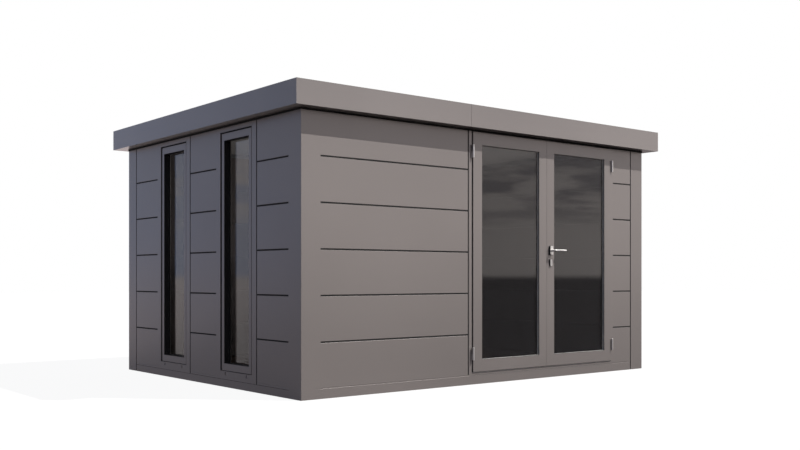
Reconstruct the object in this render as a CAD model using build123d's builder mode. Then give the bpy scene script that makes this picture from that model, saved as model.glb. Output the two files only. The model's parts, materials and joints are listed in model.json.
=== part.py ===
"""Metal garden shed with a flat roof, a pair of glazed doors and two tall windows.

Millimetres. The origin is the centre of the base on the ground, the front with
the doors faces -Y, and +X runs to the right along the front.
"""
import os

from build123d import *

os.makedirs("parts", exist_ok=True)

# Body of the shed
SHED_WIDTH = 3904
SHED_DEPTH = 3000
WALL_TOP = 2093
WALL_THICKNESS = 80
BASE_HEIGHT = 60
BASE_LEDGE = 40
POST_FLANGE = 167
POST_FOLD_RADIUS = 2.5

# Horizontal grooves pressed into the wall sheets, and the seams between sheets
GROOVE_TOP_DROP = 332
GROOVE_PITCH = 337.8
GROOVE_ROWS = 5
GROOVE_HEIGHT = 12
GROOVE_DEPTH = 20
GROOVE_LIP = 1
GROOVE_EDGE = 1.2
INNER_GROOVE_HEIGHT = 9
INNER_GROOVE_DEPTH = 5
INNER_GROOVE_LIP = 2
FOLD_LINE_HEIGHT = 75
FOLD_LINE_WIDTH = 4
FOLD_LINE_DEPTH = 2.5
SEAM_GAP = 13
SEAM_DEPTH = 24

# Doors in the front wall, set out from the post at its right end
FRONT_RIGHT_PANEL = 267
LEAF_WIDTH = 881
THRESHOLD_HEIGHT = 34
DOOR_HEAD_HEIGHT = 12
LEAF_THICKNESS = 50
LEAF_PROUD = 9
MEETING_GAP = 3
MEETING_SETBACK = 3
MEETING_SKIN = 6
DOOR_GAP = 8
HEAD_GAP = 4
HINGE_STILE = 100
MEETING_STILE = 94
BOTTOM_RAIL = 98
TOP_RAIL = 105
JAMB_LEFT_WIDTH = 32
JAMB_RIGHT_WIDTH = 28
STOP_CLEARANCE = 6
STOP_LAP = 14
THRESHOLD_STOP = 6
FRAME_EDGE_RADIUS = 1.5
BEAD_WIDTH = 18
BEAD_LINE_WIDTH = 2
BEAD_LINE_DEPTH = 2

# Windows in the left wall
MODULE_PITCH = 1104
WINDOW_WIDTH = 466
WINDOW_OFFSET = 85
WINDOW_BOTTOM = 132
WINDOW_HEAD = 58
WINDOW_STILE = 36
WINDOW_RAIL = 56
WINDOW_RECESS = 5.5
WINDOW_GAP = 17
WINDOW_GAP_ABOVE = 11
WINDOW_GAP_BELOW = 4
WINDOW_GAP_DEPTH = 20
SURROUND_WIDTH = 637
WINDOW_GLASS_DEPTH = 58
WEEP_SPACING = 334
WEEP_DROP = 24
WEEP_WIDTH = 11
WEEP_HEIGHT = 24
WEEP_DEPTH = 12

# Glazing
GLASS_THICKNESS = 14
GLASS_BITE = 10
GLASS_PLAY = 0.4
DOOR_GLASS_DEPTH = 18
SEAL_THICKNESS = 3
SEAL_SETBACK = 3.5

# Hinges, two on each leaf
HINGE_FROM_BOTTOM = 151
HINGE_FROM_TOP = 162
HINGE_LENGTH = 108
HINGE_RADIUS = 7.5
HINGE_PIN_RADIUS = 4.5
HINGE_PIN_CLEARANCE = 0.15
HINGE_PIN_LENGTH = 44
HINGE_STANDOFF = 9
HINGE_PLATE = 2.5
HINGE_PLATE_REACH = 34
HINGE_KNUCKLE_GAP = 0.5
HINGE_TIP_CHAMFER = 1.5

# Lever handle and lock on the right leaf
HANDLE_INSET = 47
HANDLE_HEIGHT = 1116
LEVER_LENGTH = 144
LEVER_RADIUS = 8.5
LEVER_STANDOFF = 55
LEVER_BEND = 16
LEVER_TIP_CHAMFER = 2
ROSE_WIDTH = 37
ROSE_HEIGHT = 78
ROSE_THICKNESS = 18
ROSE_CORNER = 8
ROSE_EDGE = 1.5
ROSE_COLLAR_RADIUS = 12.5
ROSE_COLLAR_HEIGHT = 4
LEVER_CLEARANCE = 0.4
SPINDLE_RADIUS = 5
LOCK_DROP = 106
ESCUTCHEON_WIDTH = 27
ESCUTCHEON_HEIGHT = 61
ESCUTCHEON_THICKNESS = 12
CYLINDER_RADIUS = 8.5
CYLINDER_WEB = 10
CYLINDER_HEIGHT = 33
CYLINDER_PROUD = 2
CYLINDER_CLEARANCE = 0.3
KEYWAY_WIDTH = 2
KEYWAY_HEIGHT = 8
KEYWAY_DEPTH = 5

# Floor
FLOOR_THICKNESS = 20
JOIST_COUNT = 5
JOIST_WIDTH = 50
JOIST_SHEET = 4

# Flat roof behind a fascia
ROOF_OVERHANG = 109
FASCIA_HEIGHT = 181
FASCIA_SHEET = 3
FASCIA_FOLD_RADIUS = 4
FASCIA_CAP = 40
FASCIA_HEM = 20
FASCIA_BEARING = 30
FASCIA_JOINT_OFFSET = 73
FASCIA_JOINT_GAP = 2
BEAM_WIDTH = 48
ROOF_DROP = 45
ROOF_CLEARANCE = 6
ROOF_CORE = 40
ROOF_RIB_HEIGHT = 33
ROOF_RIB_FOOT = 72
ROOF_RIB_CREST = 28
ROOF_RIBS = 3
ROOF_PANELS = 4
ROOF_EDGE_GAP = 2
ROOF_GUTTER = 75
OUTLET_FROM_CORNER = 240
OUTLET_RADIUS = 30
OUTLET_SHEET = 2
OUTLET_LENGTH = 45

LEFT = -SHED_WIDTH / 2
RIGHT = SHED_WIDTH / 2
FRONT = -SHED_DEPTH / 2
BACK = SHED_DEPTH / 2

# Each wall has a plane on its outer face: x runs to the right as seen from
# outside, y is up from the ground and z points out of the wall.
front_wall = Plane(origin=(LEFT, FRONT, 0), x_dir=(1, 0, 0), z_dir=(0, -1, 0))
right_wall = Plane(origin=(RIGHT, FRONT, 0), x_dir=(0, 1, 0), z_dir=(1, 0, 0))
back_wall = Plane(origin=(RIGHT, BACK, 0), x_dir=(-1, 0, 0), z_dir=(0, 1, 0))
left_wall = Plane(origin=(LEFT, BACK, 0), x_dir=(0, -1, 0), z_dir=(-1, 0, 0))

groove_top_row = WALL_TOP - GROOVE_TOP_DROP
groove_heights = [groove_top_row - GROOVE_PITCH * row for row in range(GROOVE_ROWS)][::-1]


def save(piece, name):
    """Label a finished sub-part and write it as parts/name.step."""
    piece.part.label = name
    export_step(piece.part, f"parts/{name}.step")


def section_at(wall, along):
    """Plane across a wall: x points out of the wall and y is up."""
    origin = wall.origin + wall.x_dir * along
    return Plane(origin=origin, x_dir=wall.z_dir, z_dir=wall.x_dir * -1)


def panel_outline():
    """Cross-section of a grooved wall panel, out from the wall face and up."""
    inner = -WALL_THICKNESS
    points = [(inner, BASE_HEIGHT), (0, BASE_HEIGHT)]
    low = FOLD_LINE_HEIGHT - FOLD_LINE_WIDTH / 2
    high = FOLD_LINE_HEIGHT + FOLD_LINE_WIDTH / 2
    points += [(0, low), (-FOLD_LINE_DEPTH, low), (-FOLD_LINE_DEPTH, high), (0, high)]
    for height in groove_heights:
        low = height - GROOVE_HEIGHT / 2
        high = height + GROOVE_HEIGHT / 2
        points += [(0, low), (-GROOVE_DEPTH, low + GROOVE_LIP), (-GROOVE_DEPTH, high), (0, high)]
    points += [(0, WALL_TOP), (inner, WALL_TOP)]
    for height in groove_heights[::-1]:
        low = height - INNER_GROOVE_HEIGHT / 2
        high = height + INNER_GROOVE_HEIGHT / 2
        floor = inner + INNER_GROOVE_DEPTH
        points += [(inner, high), (floor, high - INNER_GROOVE_LIP), (floor, low + INNER_GROOVE_LIP), (inner, low)]
    return points


def grooved_panel(name, wall, start, end, seam, seam_foot=BASE_HEIGHT):
    """Grooved wall panel from start to end, with an open seam at its left or right."""
    with BuildPart() as panel:
        with BuildSketch(section_at(wall, start)) as section:
            with BuildLine():
                Polyline(*panel_outline(), close=True)
            make_face()
            lips = section.vertices().group_by(Axis.X)[-1].sort_by(Axis.Y)[1:-1]
            chamfer(lips, GROOVE_EDGE)
        extrude(amount=start - end)
        seam_start = start if seam == "left" else end - SEAM_GAP
        with BuildSketch(wall):
            with Locations((seam_start, seam_foot)):
                Rectangle(SEAM_GAP, WALL_TOP - seam_foot, align=(Align.MIN, Align.MIN))
        extrude(amount=-SEAM_DEPTH, mode=Mode.SUBTRACT)
    save(panel, name)


# Corner posts, folded round the corner and standing on the ground
def corner_post(name, x_side, y_side):
    corner_x = x_side * SHED_WIDTH / 2
    corner_y = y_side * SHED_DEPTH / 2
    outline = [
        (0, 0),
        (POST_FLANGE, 0),
        (POST_FLANGE, WALL_THICKNESS),
        (WALL_THICKNESS, WALL_THICKNESS),
        (WALL_THICKNESS, POST_FLANGE),
        (0, POST_FLANGE),
    ]
    points = [(corner_x - x_side * u, corner_y - y_side * v) for u, v in outline]
    with BuildPart() as post:
        with BuildSketch():
            with BuildLine():
                Polyline(*points, close=True)
            make_face()
        extrude(amount=WALL_TOP)
        upright = post.edges().filter_by(Axis.Z)
        fillet(upright.sort_by_distance((corner_x, corner_y, WALL_TOP / 2))[0], POST_FOLD_RADIUS)
    save(post, name)


corner_post("corner_post_front_left", -1, -1)
corner_post("corner_post_front_right", 1, -1)
corner_post("corner_post_back_left", -1, 1)
corner_post("corner_post_back_right", 1, 1)


# Base rails between the posts, wider than the walls so that they carry the floor.
# The seam beside the post at one end of each wall runs on down to the ground.
def base_rails(name, walls, wall_length):
    with BuildPart() as rails:
        for wall, seam in walls:
            rail_end = wall_length - POST_FLANGE
            with BuildSketch(section_at(wall, POST_FLANGE)):
                Rectangle(WALL_THICKNESS + BASE_LEDGE, BASE_HEIGHT, align=(Align.MAX, Align.MIN))
            extrude(amount=POST_FLANGE - rail_end)
            with BuildSketch(wall):
                with Locations((POST_FLANGE if seam == "left" else rail_end - SEAM_GAP, 0)):
                    Rectangle(SEAM_GAP, BASE_HEIGHT, align=(Align.MIN, Align.MIN))
            extrude(amount=-SEAM_DEPTH, mode=Mode.SUBTRACT)
    save(rails, name)


base_rails("base_long_rails", ((front_wall, "right"), (back_wall, "right")), SHED_WIDTH)
base_rails("base_short_rails", ((left_wall, "left"), (right_wall, "right")), SHED_DEPTH)

# Door opening, from the right-hand post to the left
front_right_post = SHED_WIDTH - POST_FLANGE
right_jamb_end = front_right_post - FRONT_RIGHT_PANEL
right_jamb_face = right_jamb_end - JAMB_RIGHT_WIDTH
right_leaf_edge = right_jamb_face - DOOR_GAP
right_leaf_start = right_leaf_edge - LEAF_WIDTH
left_leaf_edge = right_leaf_start - MEETING_GAP - LEAF_WIDTH
left_jamb_face = left_leaf_edge - DOOR_GAP
left_jamb_start = left_jamb_face - JAMB_LEFT_WIDTH
threshold_top = BASE_HEIGHT + THRESHOLD_HEIGHT
head_bottom = WALL_TOP - DOOR_HEAD_HEIGHT
leaf_bottom = threshold_top + DOOR_GAP
leaf_top = head_bottom - HEAD_GAP
leaf_back = LEAF_PROUD - LEAF_THICKNESS
stop_face = leaf_back - STOP_CLEARANCE

# Front wall. The seam beside the doors stops at the fold line.
grooved_panel("front_wall_panel", front_wall, POST_FLANGE, left_jamb_start, "right", FOLD_LINE_HEIGHT)
grooved_panel("front_right_panel", front_wall, right_jamb_end, front_right_post, "right")


def door_jamb(name, start, end, stop_start):
    """Upright of the door frame, with a stop behind the leaf."""
    with BuildPart() as jamb:
        with BuildSketch(front_wall):
            with Locations((start, BASE_HEIGHT)):
                Rectangle(end - start, WALL_TOP - BASE_HEIGHT, align=(Align.MIN, Align.MIN))
        extrude(amount=-WALL_THICKNESS)
        with BuildSketch(front_wall.offset(stop_face)):
            with Locations((stop_start, threshold_top)):
                Rectangle(STOP_LAP + DOOR_GAP, head_bottom - threshold_top, align=(Align.MIN, Align.MIN))
        extrude(amount=-WALL_THICKNESS - stop_face)
    save(jamb, name)


door_jamb("door_jamb_left", left_jamb_start, left_jamb_face, left_jamb_face)
door_jamb("door_jamb_right", right_jamb_face, right_jamb_end, right_jamb_face - STOP_LAP - DOOR_GAP)


def door_bar(name, low, high, stop_low, stop_high, fold_line=None):
    """Head or threshold between the jambs, with a stop between the side stops."""
    stop_start = left_jamb_face + STOP_LAP + DOOR_GAP
    stop_end = right_jamb_face - STOP_LAP - DOOR_GAP
    with BuildPart() as bar:
        with BuildSketch(front_wall):
            with Locations((left_jamb_face, low)):
                Rectangle(right_jamb_face - left_jamb_face, high - low, align=(Align.MIN, Align.MIN))
        extrude(amount=-WALL_THICKNESS)
        with BuildSketch(front_wall.offset(stop_face)):
            with Locations((stop_start, stop_low)):
                Rectangle(stop_end - stop_start, stop_high - stop_low, align=(Align.MIN, Align.MIN))
        extrude(amount=-WALL_THICKNESS - stop_face)
        if fold_line:
            with BuildSketch(front_wall):
                with Locations((left_jamb_face, fold_line - FOLD_LINE_WIDTH / 2)):
                    Rectangle(right_jamb_face - left_jamb_face, FOLD_LINE_WIDTH, align=(Align.MIN, Align.MIN))
            extrude(amount=-FOLD_LINE_DEPTH, mode=Mode.SUBTRACT)
    save(bar, name)


door_bar("door_head", head_bottom, WALL_TOP, leaf_top - STOP_LAP, head_bottom)
threshold_stop_top = leaf_bottom + THRESHOLD_STOP
door_bar("door_threshold", BASE_HEIGHT, threshold_top, threshold_top, threshold_stop_top, FOLD_LINE_HEIGHT)

# Left wall, set out from the back post in whole modules. Each module has a grooved
# panel that starts with a seam, then a plain surround with a window.
window_top = WALL_TOP - WINDOW_HEAD
window_starts = []
module_start = POST_FLANGE
for label, panel_name in (("back", "left_wall_panel_back"), ("front", "left_wall_panel_middle")):
    module_end = module_start + MODULE_PITCH
    surround_start = module_end - SURROUND_WIDTH
    window_start = module_end - WINDOW_OFFSET - WINDOW_WIDTH
    window_starts.append(window_start)
    gap_low = WINDOW_BOTTOM - WINDOW_GAP_BELOW
    grooved_panel(panel_name, left_wall, module_start, surround_start, "left")
    with BuildPart() as surround:
        with BuildSketch(left_wall):
            with Locations((surround_start, BASE_HEIGHT)):
                Rectangle(SURROUND_WIDTH, WALL_TOP - BASE_HEIGHT, align=(Align.MIN, Align.MIN))
        extrude(amount=-WALL_THICKNESS)
        with BuildSketch(left_wall):
            with Locations((window_start, WINDOW_BOTTOM)):
                Rectangle(WINDOW_WIDTH, window_top - WINDOW_BOTTOM, align=(Align.MIN, Align.MIN))
        extrude(amount=-WALL_THICKNESS, mode=Mode.SUBTRACT)
        with BuildSketch(left_wall):
            with Locations((window_start - WINDOW_GAP, gap_low)):
                Rectangle(
                    WINDOW_WIDTH + 2 * WINDOW_GAP,
                    window_top + WINDOW_GAP_ABOVE - gap_low,
                    align=(Align.MIN, Align.MIN),
                )
        extrude(amount=-WINDOW_GAP_DEPTH, mode=Mode.SUBTRACT)
        with BuildSketch(left_wall):
            with Locations((window_start + WINDOW_WIDTH / 2, WINDOW_BOTTOM - WEEP_DROP)):
                with GridLocations(WEEP_SPACING, 0, 2, 1):
                    Rectangle(WEEP_WIDTH, WEEP_HEIGHT)
        extrude(amount=-WEEP_DEPTH, mode=Mode.SUBTRACT)
    save(surround, f"left_window_surround_{label}")
    module_start = module_end
left_post = SHED_DEPTH - POST_FLANGE
grooved_panel("left_wall_panel_front", left_wall, module_start, left_post, "left")

# Right and back walls, closed, with the same grooves and seams
right_seams = [POST_FLANGE, left_post - 2 * MODULE_PITCH, left_post - MODULE_PITCH, left_post]
for label, start, end in zip(("front", "middle", "back"), right_seams, right_seams[1:]):
    grooved_panel(f"right_wall_panel_{label}", right_wall, start, end, "right")

back_step = (SHED_WIDTH - 2 * POST_FLANGE) / 3
for count, label in enumerate(("right", "middle", "left")):
    start = POST_FLANGE + back_step * count
    grooved_panel(f"back_wall_panel_{label}", back_wall, start, start + back_step, "right")


# Where the handle and the lock go through the right leaf
handle_x = right_leaf_start + HANDLE_INSET
lock_height = HANDLE_HEIGHT - LOCK_DROP
cylinder_low = lock_height - CYLINDER_HEIGHT / 2
cylinder_high = lock_height + CYLINDER_HEIGHT / 2 - CYLINDER_RADIUS


def cylinder_profile(clearance, mode=Mode.ADD):
    """Round plug with a narrower web below it, drawn on the current sketch."""
    with Locations((handle_x, cylinder_high)):
        Circle(CYLINDER_RADIUS + clearance, mode=mode)
    with Locations((handle_x, cylinder_low - clearance)):
        Rectangle(
            CYLINDER_WEB + 2 * clearance,
            cylinder_high - cylinder_low + clearance,
            align=(Align.CENTER, Align.MIN),
            mode=mode,
        )


def glazed_unit(name, wall, start, low, width, height, sides, outer, inner, glass_depth, meeting=None):
    """Frame with a pocket for its glass, the glass and the seal in front of it.

    sides are the widths of the left, right, bottom and top faces. A door leaf
    names the side where it meets the other leaf, and the right leaf has a lock.
    """
    left, right, bottom, top = sides
    clear_width = width - left - right
    clear_height = height - bottom - top
    middle = start + left + clear_width / 2
    centre = low + bottom + clear_height / 2
    pocket_width = clear_width + 2 * GLASS_BITE
    pocket_height = clear_height + 2 * GLASS_BITE
    with BuildPart() as frame:
        with BuildSketch(wall.offset(outer)):
            with Locations((start, low)):
                Rectangle(width, height, align=(Align.MIN, Align.MIN))
        extrude(amount=inner - outer)
        outer_face = frame.faces().sort_by(Axis(wall.origin, wall.z_dir))[-1]
        fillet(outer_face.edges(), FRAME_EDGE_RADIUS)
        with BuildSketch(wall.offset(outer)):
            with Locations((middle, centre)):
                Rectangle(clear_width, clear_height)
            if meeting == "left":
                with Locations((handle_x, HANDLE_HEIGHT)):
                    Circle(LEVER_RADIUS + LEVER_CLEARANCE)
                cylinder_profile(CYLINDER_CLEARANCE)
        extrude(amount=inner - outer, mode=Mode.SUBTRACT)
        # The beads that hold the glass from inside show as a line round the opening
        with BuildSketch(wall.offset(inner)):
            with Locations((middle, centre)):
                Rectangle(clear_width + 2 * BEAD_WIDTH, clear_height + 2 * BEAD_WIDTH)
                Rectangle(
                    clear_width + 2 * (BEAD_WIDTH - BEAD_LINE_WIDTH),
                    clear_height + 2 * (BEAD_WIDTH - BEAD_LINE_WIDTH),
                    mode=Mode.SUBTRACT,
                )
        extrude(amount=BEAD_LINE_DEPTH, mode=Mode.SUBTRACT)
        with BuildSketch(wall.offset(outer - glass_depth)):
            with Locations((middle, centre)):
                Rectangle(pocket_width, pocket_height)
        extrude(amount=-GLASS_THICKNESS, mode=Mode.SUBTRACT)
        if meeting:
            # The stile steps back behind its outer skin, so that the leaf swings clear
            edge = start if meeting == "left" else start + width - MEETING_SETBACK
            with BuildSketch(wall.offset(outer - MEETING_SKIN)):
                with Locations((edge, low)):
                    Rectangle(MEETING_SETBACK, height, align=(Align.MIN, Align.MIN))
            extrude(amount=inner - outer + MEETING_SKIN, mode=Mode.SUBTRACT)
    save(frame, f"{name}_frame")
    with BuildPart() as glass:
        with BuildSketch(wall.offset(outer - glass_depth)):
            with Locations((middle, centre)):
                Rectangle(pocket_width - 2 * GLASS_PLAY, pocket_height - 2 * GLASS_PLAY)
        extrude(amount=GLASS_PLAY - GLASS_THICKNESS)
    save(glass, f"{name}_glass")
    with BuildPart() as seal:
        with BuildSketch(wall.offset(outer - SEAL_SETBACK)):
            with Locations((middle, centre)):
                Rectangle(clear_width, clear_height)
                Rectangle(
                    clear_width - 2 * SEAL_THICKNESS,
                    clear_height - 2 * SEAL_THICKNESS,
                    mode=Mode.SUBTRACT,
                )
        extrude(amount=SEAL_SETBACK - glass_depth)
    save(seal, f"{name}_seal")


# Windows, fixed, with the glass set well back from the face
for label, window_start in zip(("back", "front"), window_starts):
    glazed_unit(
        f"left_window_{label}",
        left_wall,
        window_start,
        WINDOW_BOTTOM,
        WINDOW_WIDTH,
        window_top - WINDOW_BOTTOM,
        (WINDOW_STILE, WINDOW_STILE, WINDOW_RAIL, WINDOW_RAIL),
        -WINDOW_RECESS,
        -WALL_THICKNESS,
        WINDOW_GLASS_DEPTH - WINDOW_RECESS,
    )

# Door leaves
for name, start, sides, meeting in (
    ("left_door", left_leaf_edge, (HINGE_STILE, MEETING_STILE), "right"),
    ("right_door", right_leaf_start, (MEETING_STILE, HINGE_STILE), "left"),
):
    glazed_unit(
        name,
        front_wall,
        start,
        leaf_bottom,
        LEAF_WIDTH,
        leaf_top - leaf_bottom,
        sides + (BOTTOM_RAIL, TOP_RAIL),
        LEAF_PROUD,
        leaf_back,
        DOOR_GLASS_DEPTH,
        meeting,
    )

# Roses and escutcheons on both faces of the right leaf, and the lock cylinder
with BuildPart() as lock_set:
    for face, outward in ((LEAF_PROUD, 1), (leaf_back, -1)):
        for height, width, length, thickness in (
            (HANDLE_HEIGHT, ROSE_WIDTH, ROSE_HEIGHT, ROSE_THICKNESS),
            (lock_height, ESCUTCHEON_WIDTH, ESCUTCHEON_HEIGHT, ESCUTCHEON_THICKNESS),
        ):
            with BuildSketch(front_wall.offset(face)):
                with Locations((handle_x, height)):
                    RectangleRounded(width, length, ROSE_CORNER)
            extrude(amount=outward * thickness)
            plate_face = lock_set.faces(Select.LAST).sort_by(Axis.Y, reverse=outward < 0)[0]
            chamfer(plate_face.edges(), ROSE_EDGE)
        collar_face = face + outward * (ROSE_THICKNESS + ROSE_COLLAR_HEIGHT)
        with BuildSketch(front_wall.offset(collar_face)):
            with Locations((handle_x, HANDLE_HEIGHT)):
                Circle(ROSE_COLLAR_RADIUS)
        extrude(amount=-outward * ROSE_COLLAR_HEIGHT)
        with BuildSketch(front_wall.offset(collar_face)):
            with Locations((handle_x, HANDLE_HEIGHT)):
                Circle(LEVER_RADIUS + LEVER_CLEARANCE)
            cylinder_profile(CYLINDER_CLEARANCE)
        extrude(amount=face - collar_face, mode=Mode.SUBTRACT)
    cylinder_face = LEAF_PROUD + ESCUTCHEON_THICKNESS + CYLINDER_PROUD
    cylinder_back = leaf_back - ESCUTCHEON_THICKNESS - CYLINDER_PROUD
    with BuildSketch(front_wall.offset(cylinder_face)):
        cylinder_profile(0)
    extrude(amount=cylinder_back - cylinder_face)
    for face, inward in ((cylinder_face, -1), (cylinder_back, 1)):
        with BuildSketch(front_wall.offset(face)):
            with Locations((handle_x, cylinder_high)):
                Rectangle(KEYWAY_WIDTH, KEYWAY_HEIGHT)
        extrude(amount=inward * KEYWAY_DEPTH, mode=Mode.SUBTRACT)
save(lock_set, "right_door_lock_set")

# Lever handle: an outer and an inner lever on one spindle
handle_origin = Plane(origin=(LEFT + handle_x, FRONT, HANDLE_HEIGHT))
with BuildPart() as lever:
    for face, outward in ((LEAF_PROUD, 1), (leaf_back, -1)):
        reach = face + outward * LEVER_STANDOFF
        with BuildLine(handle_origin) as path:
            FilletPolyline((LEVER_LENGTH, -reach), (0, -reach), (0, -face), radius=LEVER_BEND)
        with BuildSketch(Plane(origin=path.line @ 0, z_dir=path.line % 0)):
            Circle(LEVER_RADIUS)
        sweep(path=path.line)
    lever_tips = lever.faces().filter_by(Axis.X).sort_by(Axis.X)[-2:]
    chamfer(lever_tips.edges(), LEVER_TIP_CHAMFER)
    with BuildSketch(front_wall.offset(LEAF_PROUD)):
        with Locations((handle_x, HANDLE_HEIGHT)):
            Circle(SPINDLE_RADIUS)
    extrude(amount=-LEAF_THICKNESS)
save(lever, "door_lever")


# Lift-off hinges: the jamb half has the lower knuckle and the pin, the leaf half
# has the upper knuckle. Their plates lie in the gap between jamb and leaf.
def jamb_hinge_halves(name, pin_x, side):
    """side is 1 where the leaf lies to the right of the pin."""
    with BuildPart() as halves:
        for height in hinge_heights:
            low = height - HINGE_LENGTH / 2
            with BuildSketch(Plane(origin=(pin_x, pin_y, low))):
                Circle(HINGE_RADIUS)
            extrude(amount=HINGE_LENGTH / 2 - HINGE_KNUCKLE_GAP)
            tip = halves.edges(Select.LAST).sort_by(Axis.Z)[0]
            chamfer(tip, HINGE_TIP_CHAMFER)
            with BuildSketch(Plane(origin=(pin_x, pin_y, low + HINGE_TIP_CHAMFER))):
                with Locations((-side * DOOR_GAP / 2, 0)):
                    Rectangle(HINGE_PLATE, plate_reach, align=(plate_align[-side], Align.MIN))
            extrude(amount=plate_length)
            with BuildSketch(Plane(origin=(pin_x, pin_y, low))):
                Circle(HINGE_PIN_RADIUS)
            extrude(amount=HINGE_LENGTH / 2 + HINGE_PIN_LENGTH)
    save(halves, name)


def leaf_hinge_halves(name, pin_x, side):
    with BuildPart() as halves:
        for height in hinge_heights:
            with BuildSketch(Plane(origin=(pin_x, pin_y, height))):
                Circle(HINGE_RADIUS)
            extrude(amount=HINGE_LENGTH / 2)
            tip = halves.edges(Select.LAST).sort_by(Axis.Z)[-1]
            chamfer(tip, HINGE_TIP_CHAMFER)
            with BuildSketch(Plane(origin=(pin_x, pin_y, height))):
                with Locations((side * DOOR_GAP / 2, 0)):
                    Rectangle(HINGE_PLATE, plate_reach, align=(plate_align[side], Align.MIN))
            extrude(amount=plate_length)
            with BuildSketch(Plane(origin=(pin_x, pin_y, height))):
                Circle(HINGE_PIN_RADIUS + HINGE_PIN_CLEARANCE)
            extrude(amount=HINGE_PIN_LENGTH + HINGE_KNUCKLE_GAP, mode=Mode.SUBTRACT)
    save(halves, name)


pin_y = FRONT - LEAF_PROUD - HINGE_STANDOFF
plate_reach = HINGE_STANDOFF + HINGE_PLATE_REACH
plate_length = HINGE_LENGTH / 2 - HINGE_TIP_CHAMFER - HINGE_KNUCKLE_GAP
plate_align = {1: Align.MAX, -1: Align.MIN}
hinge_heights = (leaf_bottom + HINGE_FROM_BOTTOM, leaf_top - HINGE_FROM_TOP)
left_pin_x = LEFT + left_leaf_edge - DOOR_GAP / 2
right_pin_x = LEFT + right_leaf_edge + DOOR_GAP / 2
jamb_hinge_halves("left_jamb_hinges", left_pin_x, 1)
jamb_hinge_halves("right_jamb_hinges", right_pin_x, -1)
leaf_hinge_halves("left_door_hinges", left_pin_x, 1)
leaf_hinge_halves("right_door_hinges", right_pin_x, -1)

# Floor deck on the ledges of the base rails and on joists
clear_width = SHED_WIDTH - 2 * WALL_THICKNESS
clear_depth = SHED_DEPTH - 2 * WALL_THICKNESS
with BuildPart() as floor_deck:
    with BuildSketch(Plane.XY.offset(BASE_HEIGHT)):
        Rectangle(clear_width, clear_depth)
    extrude(amount=FLOOR_THICKNESS)
save(floor_deck, "floor_deck")

joist_length = clear_depth - 2 * BASE_LEDGE
joist_pitch = (clear_width - 2 * BASE_LEDGE) / (JOIST_COUNT + 1)
with BuildPart() as floor_joists:
    with BuildSketch(Plane.XZ.offset(-joist_length / 2)):
        for count in range(JOIST_COUNT):
            offset_x = joist_pitch * (count + 0.5 - JOIST_COUNT / 2)
            with Locations((offset_x, 0)):
                Rectangle(JOIST_WIDTH, BASE_HEIGHT, align=(Align.CENTER, Align.MIN))
            with Locations((offset_x + JOIST_SHEET, JOIST_SHEET)):
                Rectangle(
                    JOIST_WIDTH,
                    BASE_HEIGHT - 2 * JOIST_SHEET,
                    align=(Align.CENTER, Align.MIN),
                    mode=Mode.SUBTRACT,
                )
    extrude(amount=joist_length)
save(floor_joists, "floor_joists")

# Plane of the roof's underside. It starts so far below the hem of the front
# fascia that the ribs clear it, and falls to the back.
fascia_top = WALL_TOP + FASCIA_HEIGHT
eaves_height = fascia_top - FASCIA_HEM - ROOF_CLEARANCE - ROOF_RIB_HEIGHT - ROOF_CORE
roof_depth = SHED_DEPTH + 2 * ROOF_OVERHANG
roof_fall = Vector(0, roof_depth, -ROOF_DROP)
fall_direction = roof_fall.normalized()
roof_underside = Plane(
    origin=(0, FRONT - ROOF_OVERHANG, eaves_height),
    x_dir=(1, 0, 0),
    z_dir=(0, ROOF_DROP, roof_depth),
)

# Roof beams on top of the walls, cut to the fall of the roof
inner_face = WALL_THICKNESS - BEAM_WIDTH
beam_span_x = SHED_WIDTH - 2 * inner_face
beam_span_y = SHED_DEPTH - 2 * WALL_THICKNESS
with BuildPart() as long_beams:
    with BuildSketch(Plane.XY.offset(WALL_TOP)):
        for side in (-1, 1):
            with Locations((0, side * (SHED_DEPTH / 2 - WALL_THICKNESS + BEAM_WIDTH / 2))):
                Rectangle(beam_span_x, BEAM_WIDTH)
    extrude(amount=eaves_height - WALL_TOP)
    split(bisect_by=roof_underside, keep=Keep.BOTTOM)
save(long_beams, "roof_long_beams")
with BuildPart() as short_beams:
    with BuildSketch(Plane.XY.offset(WALL_TOP)):
        for side in (-1, 1):
            with Locations((side * (SHED_WIDTH / 2 - WALL_THICKNESS + BEAM_WIDTH / 2), 0)):
                Rectangle(BEAM_WIDTH, beam_span_y)
    extrude(amount=eaves_height - WALL_TOP)
    split(bisect_by=roof_underside, keep=Keep.BOTTOM)
save(short_beams, "roof_short_beams")

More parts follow.
